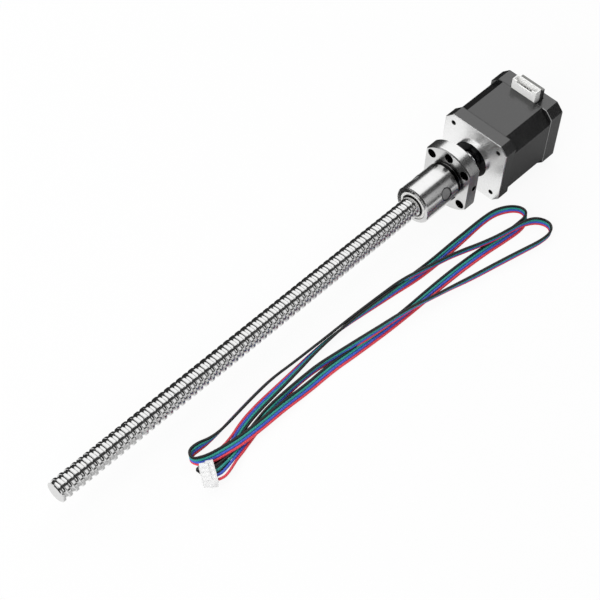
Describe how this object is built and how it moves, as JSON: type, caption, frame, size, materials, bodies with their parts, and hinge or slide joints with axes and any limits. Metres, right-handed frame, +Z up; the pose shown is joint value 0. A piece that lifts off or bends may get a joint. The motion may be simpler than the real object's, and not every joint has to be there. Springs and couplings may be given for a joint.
{
  "type": "ball screw stepper motor",
  "caption": "Square stepper motor whose shaft is a long ball screw, with a flanged ball nut on it, a rear socket and a loose flat four-wire lead.",
  "frame": {"origin": "centre of the motor's mounting face, on the screw's axis", "axes": "+X along the screw from the motor to its free end, +Z up through the socket on the rear cap, +Y towards the loose lead"},
  "size_m": [0.346, 0.0785, 0.0489],
  "materials": {
    "cap_metal": "bare cast face with a fine ground grain, black coated sides",
    "cap_black": "satin black coat on a casting",
    "screw_black": "blackened steel",
    "stack_black": "satin black coat over fine lamination edges",
    "bobbin_plastic": "moulded, matte",
    "winding_copper": "enamelled copper wire",
    "rotor_steel": "ground steel",
    "bearing_steel": "polished bearing steel",
    "screw_steel": "rolled and polished steel",
    "nut_steel": "turned and ground steel",
    "deflector_grey": "sintered grey, matte",
    "wiper_white": "white plastic, matte",
    "socket_white": "natural white plastic",
    "contact_tin": "tinned metal",
    "board_dark": "dark circuit board",
    "lead_insulation": "black, green, blue and red insulated wires side by side",
    "plug_white": "natural white plastic",
    "plug_black": "black plastic"
  },
  "bodies": {
    "motor": {"front_end_cap": "cap_metal", "rear_end_cap": "cap_black", "tie_screws": "screw_black", "stator_stack": "stack_black", "front_coil_bobbin": "bobbin_plastic", "rear_coil_bobbin": "bobbin_plastic", "stator_windings": "winding_copper", "wave_washer": "bearing_steel", "socket_housing": "socket_white", "socket_pins": "contact_tin", "terminal_board": "board_dark", "lead_ribbon": "lead_insulation", "white_plug_housing": "plug_white", "white_plug_contacts": "contact_tin", "black_plug_housing": "plug_black", "black_plug_contacts": "contact_tin", "front_bearing_outer_ring": "bearing_steel", "front_bearing_shields": "bearing_steel", "rear_bearing_outer_ring": "bearing_steel", "rear_bearing_shields": "bearing_steel"},
    "screw": {"ball_screw": "screw_steel", "rotor_front_cup": "rotor_steel", "rotor_rear_cup": "rotor_steel", "rotor_magnet": "rotor_steel", "rotor_spacer": "rotor_steel", "front_bearing_inner_ring": "bearing_steel", "rear_bearing_inner_ring": "bearing_steel"},
    "nut": {"nut_body": "nut_steel", "ball_deflectors": "deflector_grey", "front_wiper": "wiper_white", "rear_wiper": "wiper_white"},
    "front_cage": {"front_bearing_balls": "bearing_steel", "front_bearing_cage": "bearing_steel"},
    "rear_cage": {"rear_bearing_balls": "bearing_steel", "rear_bearing_cage": "bearing_steel"}
  },
  "joints": [
    {"name": "screw_spin", "type": "hinge", "parent": "motor", "child": "screw", "pos_m": [0, 0, 0], "axis": [1, 0, 0], "range_deg": [-21960, 900]},
    {"name": "nut_slide", "type": "slide", "parent": "motor", "child": "nut", "axis": [1, 0, 0], "range_m": [-0.0101, 0.2441]},
    {"name": "front_cage_spin", "type": "hinge", "parent": "motor", "child": "front_cage", "pos_m": [0, 0, 0], "axis": [1, 0, 0], "range_deg": [-8785, 361]},
    {"name": "rear_cage_spin", "type": "hinge", "parent": "motor", "child": "rear_cage", "pos_m": [0, 0, 0], "axis": [1, 0, 0], "range_deg": [-8263, 340]}
  ],
  "couplings": [
    {"joint": "nut_slide", "follows": "screw_spin", "m_per_rad": -0.00063662},
    {"joint": "front_cage_spin", "follows": "screw_spin", "ratio": 0.4},
    {"joint": "rear_cage_spin", "follows": "screw_spin", "ratio": 0.37619}
  ]
}
